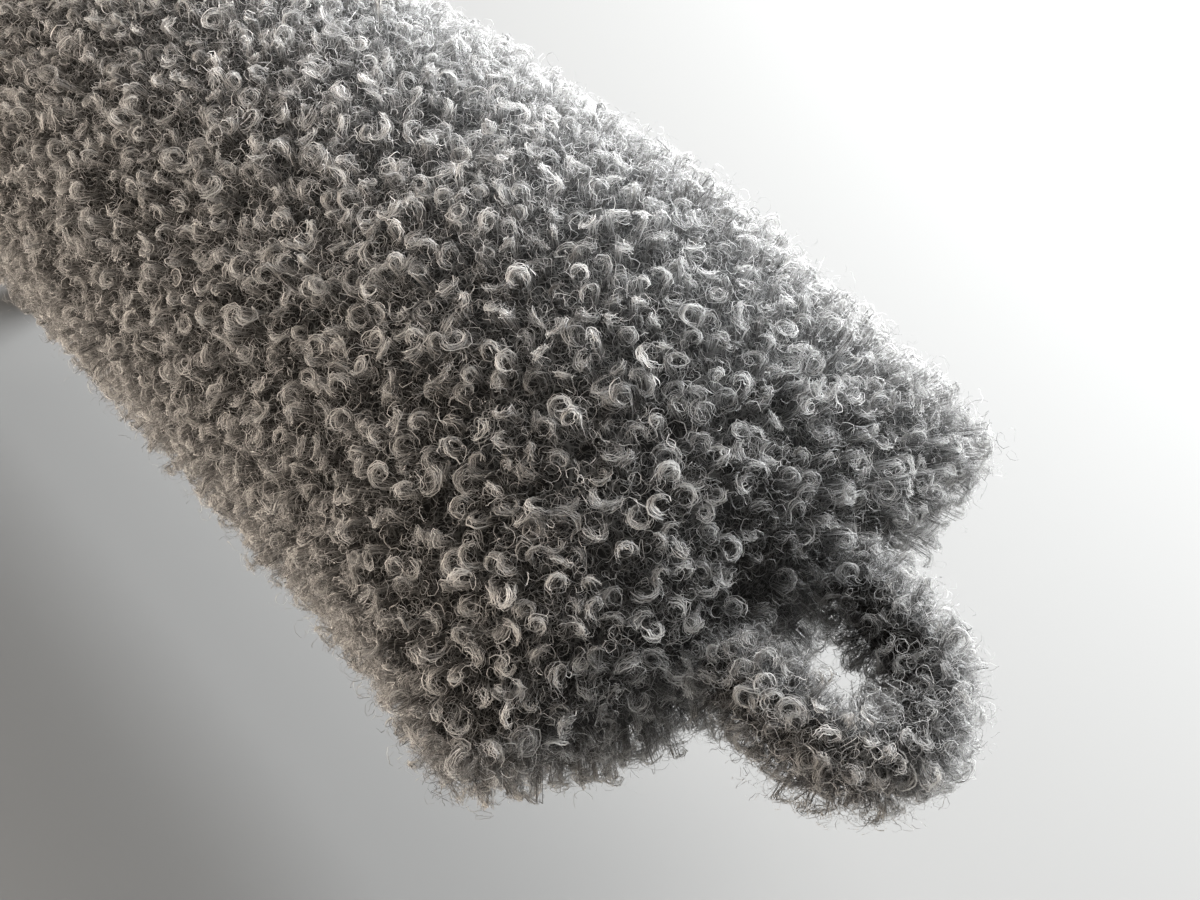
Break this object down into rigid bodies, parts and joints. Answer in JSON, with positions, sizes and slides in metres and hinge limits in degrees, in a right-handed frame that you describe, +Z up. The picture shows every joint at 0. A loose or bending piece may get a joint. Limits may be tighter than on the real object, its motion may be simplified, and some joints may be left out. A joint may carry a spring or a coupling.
{
  "type": "furry windscreen",
  "caption": "Fur-covered windscreen for a shotgun microphone: pull-off curly fur cover with a pull loop over a lattice cage on a tilting stand base.",
  "frame": {"origin": "centre of the stand socket's lower face, where a stand's thread enters", "axes": "+X along the windscreen from the rear base to the pull loop, +Z up along the stand socket's axis, +Y to the side with the tilt knob"},
  "size_m": [0.4685, 0.16, 0.1991],
  "materials": {
    "fur": "matte",
    "lining": "matte",
    "webbing": "matte",
    "cage_plastic": "satin",
    "base_plastic": "matte",
    "lyre_plastic": "satin",
    "rubber": "matte",
    "anodised": "satin",
    "steel": "satin",
    "brass": "satin"
  },
  "bodies": {
    "stand": {"stand_socket": "anodised", "thread_insert": "brass", "fork_screw": "steel", "swivel_fork": "anodised", "clamp_nut": "steel"},
    "clamp": {"clamp_bolt": "steel", "tilt_knob": "base_plastic"},
    "head": {"base_ring": "base_plastic", "tilt_knuckle": "anodised", "knuckle_screw_1": "steel", "knuckle_screw_2": "steel", "back_cover": "base_plastic", "back_cover_screw_1": "steel", "back_cover_screw_2": "steel", "back_cover_screw_3": "steel", "back_cover_screw_4": "steel", "cable_grommet": "rubber", "cage_seal_ring": "rubber", "suspension_rail": "anodised", "rail_screw_1": "steel", "rail_screw_2": "steel"},
    "rear_mount": {"rear_mount_carriage": "lyre_plastic", "rear_lyre": "lyre_plastic", "rear_mic_clip": "rubber"},
    "front_mount": {"front_mount_carriage": "lyre_plastic", "front_lyre": "lyre_plastic", "front_mic_clip": "rubber"},
    "cage": {"cage_collar": "cage_plastic", "cage_rib_1": "cage_plastic", "cage_rib_2": "cage_plastic", "cage_rib_3": "cage_plastic", "cage_rib_4": "cage_plastic", "cage_rib_5": "cage_plastic", "cage_rib_6": "cage_plastic", "cage_rib_7": "cage_plastic", "cage_rib_8": "cage_plastic", "cage_rib_9": "cage_plastic", "cage_rib_10": "cage_plastic", "cage_hoop_1": "cage_plastic", "cage_hoop_2": "cage_plastic", "cage_hoop_3": "cage_plastic", "cage_hoop_4": "cage_plastic", "cage_hoop_5": "cage_plastic", "cage_nose_boss": "cage_plastic"},
    "cover": {"fur_upper_panel": "fur", "fur_lower_panel": "fur", "cover_lining": "lining", "hem_binding": "webbing"},
    "loop": {"pull_loop": "fur"}
  },
  "joints": [
    {"name": "head_tilt", "type": "hinge", "parent": "stand", "child": "head", "pos_m": [0, 0, 0.045], "axis": [0, -1, 0], "range_deg": [-10, 70]},
    {"name": "knob_turn", "type": "hinge", "parent": "stand", "child": "clamp", "pos_m": [0, 0, 0.045], "axis": [0, 1, 0], "range_deg": [0, 270]},
    {"name": "rear_mount_slide", "type": "slide", "parent": "head", "child": "rear_mount", "axis": [1, 0, 0], "range_m": [-0.04, 0.045]},
    {"name": "front_mount_slide", "type": "slide", "parent": "head", "child": "front_mount", "axis": [1, 0, 0], "range_m": [-0.055, 0.05]},
    {"name": "cage_slide", "type": "slide", "parent": "head", "child": "cage", "axis": [1, 0, 0], "range_m": [0, 0.32]},
    {"name": "cover_slide", "type": "slide", "parent": "cage", "child": "cover", "axis": [1, 0, 0], "range_m": [0, 0.345]},
    {"name": "loop_swing", "type": "hinge", "parent": "cover", "child": "loop", "pos_m": [0.4054, 0, 0.129], "axis": [0, 1, 0], "range_deg": [-60, 50], "stiffness_Nm_per_rad": 0.1, "springref_deg": -1.72}
  ]
}
